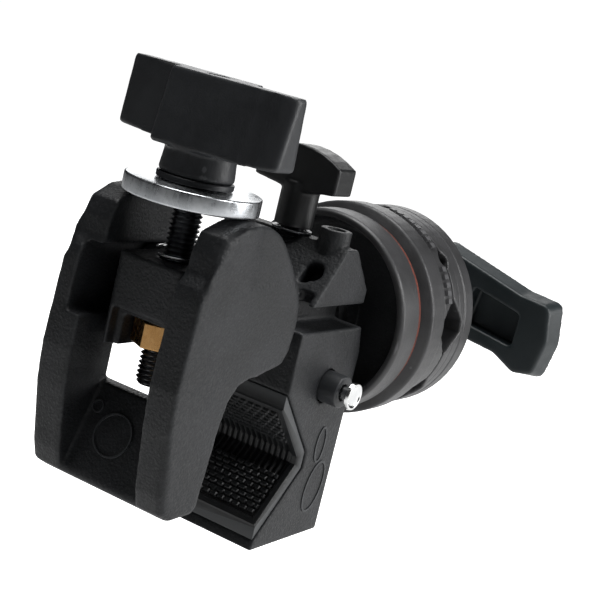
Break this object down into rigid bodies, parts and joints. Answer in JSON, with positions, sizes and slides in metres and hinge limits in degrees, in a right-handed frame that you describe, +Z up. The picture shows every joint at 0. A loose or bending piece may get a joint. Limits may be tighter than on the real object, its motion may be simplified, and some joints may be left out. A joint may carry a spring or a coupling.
{
  "type": "super clamp with grip head",
  "caption": "Cast clamp with a forked jaw that a screw knob closes on a tube in a V seat, carrying a swivelling grip head with a wing handle on a locked hexagonal spigot.",
  "frame": {"origin": "centre of the tube held in the jaw as drawn, midway across the clamp", "axes": "+X from the jaw towards the grip head's handle, parallel to the head's axis; +Z up along the clamp screw towards its knob; +Y across the clamp, parallel to the held tube"},
  "size_m": [0.1734, 0.0968, 0.1251],
  "materials": {
    "cast_paint": "fine textured black paint on cast metal",
    "disc_paint": "satin black",
    "knob_plastic": "matt moulded black",
    "handle_plastic": "matt dark grey",
    "pad_rubber": "matt ridged black",
    "zinc_steel": "bright zinc plate",
    "black_steel": "black oxide",
    "bright_steel": "bright",
    "brass": "machined",
    "friction_fibre": "matt orange-red fibre"
  },
  "bodies": {
    "clamp": {"clamp_body": "cast_paint", "jaw_pad": "pad_rubber", "clamp_nut": "brass", "jaw_spring": "bright_steel", "lock_ring": "black_steel", "safety_sleeve": "knob_plastic", "safety_spring": "bright_steel", "spigot": "black_steel", "base_disc": "disc_paint", "friction_disc": "friction_fibre", "centre_bolt": "zinc_steel"},
    "screw_slider": {"jaw_washer": "zinc_steel", "knob_washer": "knob_plastic"},
    "screw_knob": {"clamp_knob": "knob_plastic", "clamp_screw": "black_steel"},
    "jaw": {"moving_jaw": "cast_paint"},
    "lock_slider": {"lock_tip": "brass"},
    "lock": {"lock_knob": "knob_plastic", "lock_screw": "black_steel"},
    "safety": {"safety_pin": "bright_steel", "safety_catch": "zinc_steel"},
    "head": {"inner_jaw_disc": "disc_paint", "guide_pin_a": "bright_steel", "guide_pin_b": "bright_steel", "head_spring": "bright_steel"},
    "outer_disc": {"outer_jaw_disc": "disc_paint"},
    "thrust": {"thrust_washer": "zinc_steel", "thrust_bearing": "black_steel", "thrust_collar": "zinc_steel"},
    "handle": {"grip_handle": "handle_plastic", "handle_insert": "brass"}
  },
  "joints": [
    {"name": "screw_travel", "type": "slide", "parent": "clamp", "child": "screw_slider", "axis": [0, 0, -1], "range_m": [-0.00264, 0.00847]},
    {"name": "knob_turn", "type": "hinge", "parent": "screw_slider", "child": "screw_knob", "pos_m": [-0.0229, 0, 0.0874], "axis": [0, 0, -1], "range_deg": [-760, 2440]},
    {"name": "jaw_pivot", "type": "hinge", "parent": "clamp", "child": "jaw", "pos_m": [-0.0109, 0, 0.0456], "axis": [0, -1, 0], "range_deg": [-14.01, 45]},
    {"name": "lock_travel", "type": "slide", "parent": "clamp", "child": "lock_slider", "axis": [0, 0, 1], "range_m": [0, 0.00498]},
    {"name": "lock_turn", "type": "hinge", "parent": "lock_slider", "child": "lock", "pos_m": [0.0275, 0, 0.0774], "axis": [0, 0, 1], "range_deg": [0, 1435]},
    {"name": "safety_pull", "type": "slide", "parent": "clamp", "child": "safety", "axis": [0, -1, 0], "range_m": [0, 0.0029], "stiffness_N_per_m": 600, "springref_m": -0.004, "deforming": ["safety_spring"]},
    {"name": "head_swivel", "type": "hinge", "parent": "clamp", "child": "head", "pos_m": [0.0721, 0, 0.0374], "axis": [1, 0, 0], "continuous": true},
    {"name": "jaw_open", "type": "slide", "parent": "head", "child": "outer_disc", "axis": [1, 0, 0], "range_m": [0, 0.008]},
    {"name": "handle_travel", "type": "slide", "parent": "clamp", "child": "thrust", "axis": [1, 0, 0], "range_m": [0, 0.00797]},
    {"name": "handle_turn", "type": "hinge", "parent": "thrust", "child": "handle", "pos_m": [0.1211, 0, 0.0374], "axis": [1, 0, 0], "range_deg": [0, 1915]}
  ],
  "couplings": [
    {"joint": "knob_turn", "follows": "screw_travel", "rad_per_m": 5026.5},
    {"joint": "jaw_pivot", "follows": "screw_travel", "rad_per_m": 92.593},
    {"joint": "lock_turn", "follows": "lock_travel", "rad_per_m": 5026.5},
    {"joint": "handle_turn", "follows": "handle_travel", "rad_per_m": 4188.8},
    {"joint": "jaw_open", "follows": "handle_travel", "ratio": 1}
  ]
}
